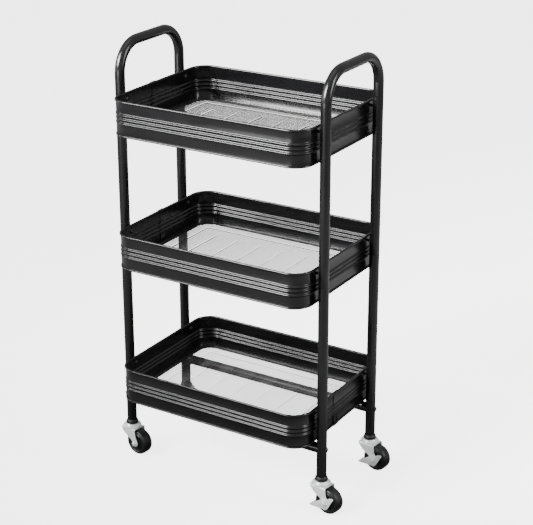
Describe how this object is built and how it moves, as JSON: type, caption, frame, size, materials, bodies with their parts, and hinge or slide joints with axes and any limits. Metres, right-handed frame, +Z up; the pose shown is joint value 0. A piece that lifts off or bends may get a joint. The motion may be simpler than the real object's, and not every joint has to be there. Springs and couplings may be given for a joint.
{
  "type": "rolling utility cart",
  "caption": "Slim rolling utility cart with arched tube end frames, ribbed rectangular trays with mesh floors, stretchers under the lowest tray and swivel casters.",
  "frame": {"origin": "on the floor, under the middle of the overall bounding box with every caster trailing towards +X", "axes": "+X along the trays' long side, +Y from the front long side to the back, +Z up"},
  "size_m": [0.492, 0.305, 0.8355],
  "materials": {
    "frame_paint": "glossy black enamel",
    "tray_paint": "glossy black enamel",
    "mesh_wire": "black coated mesh",
    "black_screw": "black oxide",
    "socket_plastic": "moulded black plastic",
    "zinc": "bright zinc plate",
    "plain_steel": "plain steel",
    "wheel_plastic": "black moulded wheel"
  },
  "bodies": {
    "cart_frame": {"upper_frame_left": "frame_paint", "upper_frame_right": "frame_paint", "lower_leg_fl": "frame_paint", "lower_leg_fr": "frame_paint", "lower_leg_bl": "frame_paint", "lower_leg_br": "frame_paint", "leg_socket_fl": "socket_plastic", "leg_socket_fr": "socket_plastic", "leg_socket_bl": "socket_plastic", "leg_socket_br": "socket_plastic", "stretcher_front": "frame_paint", "stretcher_back": "frame_paint", "stretcher_inserts": "plain_steel", "stretcher_bolts": "black_screw", "tray_top": "tray_paint", "tray_middle": "tray_paint", "tray_bottom": "tray_paint", "mesh_floor_top": "mesh_wire", "mesh_floor_middle": "mesh_wire", "mesh_floor_bottom": "mesh_wire", "tray_screws_top": "black_screw", "tray_screws_middle": "black_screw", "tray_screws_bottom": "black_screw", "leg_rivet_nuts": "plain_steel", "caster_stem_fl": "zinc", "caster_stem_fr": "zinc", "caster_stem_bl": "zinc", "caster_stem_br": "zinc"},
    "swivel_fl": {"caster_fork_fl": "zinc", "axle_fl": "zinc", "bearing_balls_fl": "plain_steel"},
    "swivel_fr": {"caster_fork_fr": "zinc", "axle_fr": "zinc", "bearing_balls_fr": "plain_steel"},
    "swivel_bl": {"caster_fork_bl": "zinc", "axle_bl": "zinc", "bearing_balls_bl": "plain_steel"},
    "swivel_br": {"caster_fork_br": "zinc", "axle_br": "zinc", "bearing_balls_br": "plain_steel"},
    "rolling_wheel_fl": {"wheel_fl": "wheel_plastic"},
    "rolling_wheel_fr": {"wheel_fr": "wheel_plastic"},
    "rolling_wheel_bl": {"wheel_bl": "wheel_plastic"},
    "rolling_wheel_br": {"wheel_br": "wheel_plastic"},
    "brake_fr": {"brake_lever_fr": "zinc"},
    "brake_br": {"brake_lever_br": "zinc"}
  },
  "joints": [
    {"name": "caster_swivel_fl", "type": "hinge", "parent": "cart_frame", "child": "swivel_fl", "pos_m": [-0.22813, -0.095, 0.0545], "axis": [0, 0, 1], "continuous": true},
    {"name": "caster_swivel_fr", "type": "hinge", "parent": "cart_frame", "child": "swivel_fr", "pos_m": [0.20187, -0.095, 0.0545], "axis": [0, 0, 1], "continuous": true},
    {"name": "caster_swivel_bl", "type": "hinge", "parent": "cart_frame", "child": "swivel_bl", "pos_m": [-0.22813, 0.095, 0.0545], "axis": [0, 0, 1], "continuous": true},
    {"name": "caster_swivel_br", "type": "hinge", "parent": "cart_frame", "child": "swivel_br", "pos_m": [0.20187, 0.095, 0.0545], "axis": [0, 0, 1], "continuous": true},
    {"name": "wheel_spin_fl", "type": "hinge", "parent": "swivel_fl", "child": "rolling_wheel_fl", "pos_m": [-0.20977, -0.09725, 0.0254], "axis": [0.1219, 0.9925, 0], "continuous": true},
    {"name": "wheel_spin_fr", "type": "hinge", "parent": "swivel_fr", "child": "rolling_wheel_fr", "pos_m": [0.22023, -0.09725, 0.0254], "axis": [0.1219, 0.9925, 0], "continuous": true},
    {"name": "wheel_spin_bl", "type": "hinge", "parent": "swivel_bl", "child": "rolling_wheel_bl", "pos_m": [-0.20977, 0.09274, 0.0254], "axis": [0.1219, 0.9925, 0], "continuous": true},
    {"name": "wheel_spin_br", "type": "hinge", "parent": "swivel_br", "child": "rolling_wheel_br", "pos_m": [0.22023, 0.09274, 0.0254], "axis": [0.1219, 0.9925, 0], "continuous": true},
    {"name": "brake_pedal_fr", "type": "hinge", "parent": "swivel_fr", "child": "brake_fr", "pos_m": [0.22023, -0.09725, 0.0254], "axis": [0.1219, 0.9925, 0], "range_deg": [0, 18]},
    {"name": "brake_pedal_br", "type": "hinge", "parent": "swivel_br", "child": "brake_br", "pos_m": [0.22023, 0.09274, 0.0254], "axis": [0.1219, 0.9925, 0], "range_deg": [0, 18]}
  ]
}
